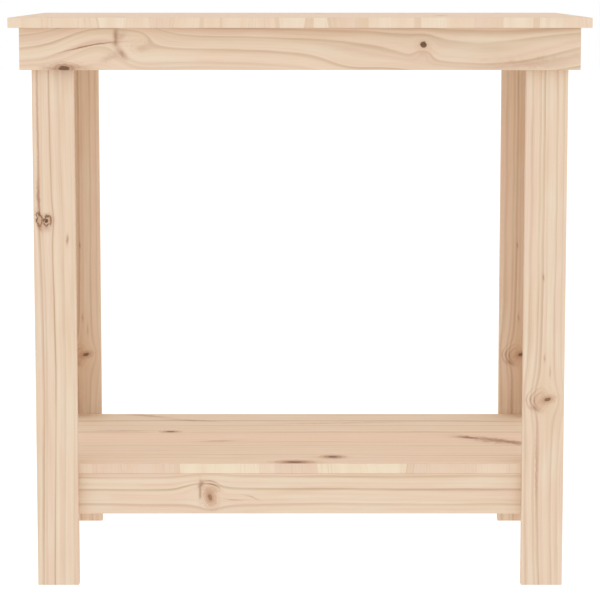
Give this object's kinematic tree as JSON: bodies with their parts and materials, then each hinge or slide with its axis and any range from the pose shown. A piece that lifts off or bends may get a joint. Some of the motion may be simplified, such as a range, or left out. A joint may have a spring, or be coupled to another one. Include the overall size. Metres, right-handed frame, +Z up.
{
  "type": "potting bench",
  "caption": "Free-standing pine potting bench: a flat rectangular worktop with a small overhang on deep aprons, straight L-section legs, and a low full-width storage shelf on rails.",
  "frame": {"origin": "on the floor, under the middle of the worktop", "axes": "+X to the right along the long front edge, +Y from the front edge to the rear, +Z up"},
  "size_m": [0.8, 0.5, 0.8],
  "materials": {
    "pine_panel": "edge-glued finger-jointed pine, sanded, unfinished",
    "pine_board": "planed knotty pine, unfinished",
    "pine_cleat": "planed square pine batten, unfinished",
    "screw_steel": "zinc-plated steel",
    "beech_dowel": "fluted beech dowel"
  },
  "bodies": {
    "root": {"top_panel": "pine_panel", "shelf_panel": "pine_panel", "front_left_leg_face": "pine_board", "front_left_leg_side": "pine_board", "front_right_leg_face": "pine_board", "front_right_leg_side": "pine_board", "rear_left_leg_face": "pine_board", "rear_left_leg_side": "pine_board", "rear_right_leg_face": "pine_board", "rear_right_leg_side": "pine_board", "front_apron": "pine_board", "rear_apron": "pine_board", "left_apron": "pine_board", "right_apron": "pine_board", "lower_front_rail": "pine_board", "lower_rear_rail": "pine_board", "lower_left_rail": "pine_board", "lower_right_rail": "pine_board", "front_top_cleat": "pine_cleat", "rear_top_cleat": "pine_cleat", "left_top_cleat": "pine_cleat", "right_top_cleat": "pine_cleat", "front_shelf_cleat": "pine_cleat", "rear_shelf_cleat": "pine_cleat", "board_screws": "screw_steel", "cleat_screws": "screw_steel", "leg_dowels": "beech_dowel"}
  },
  "joints": []
}
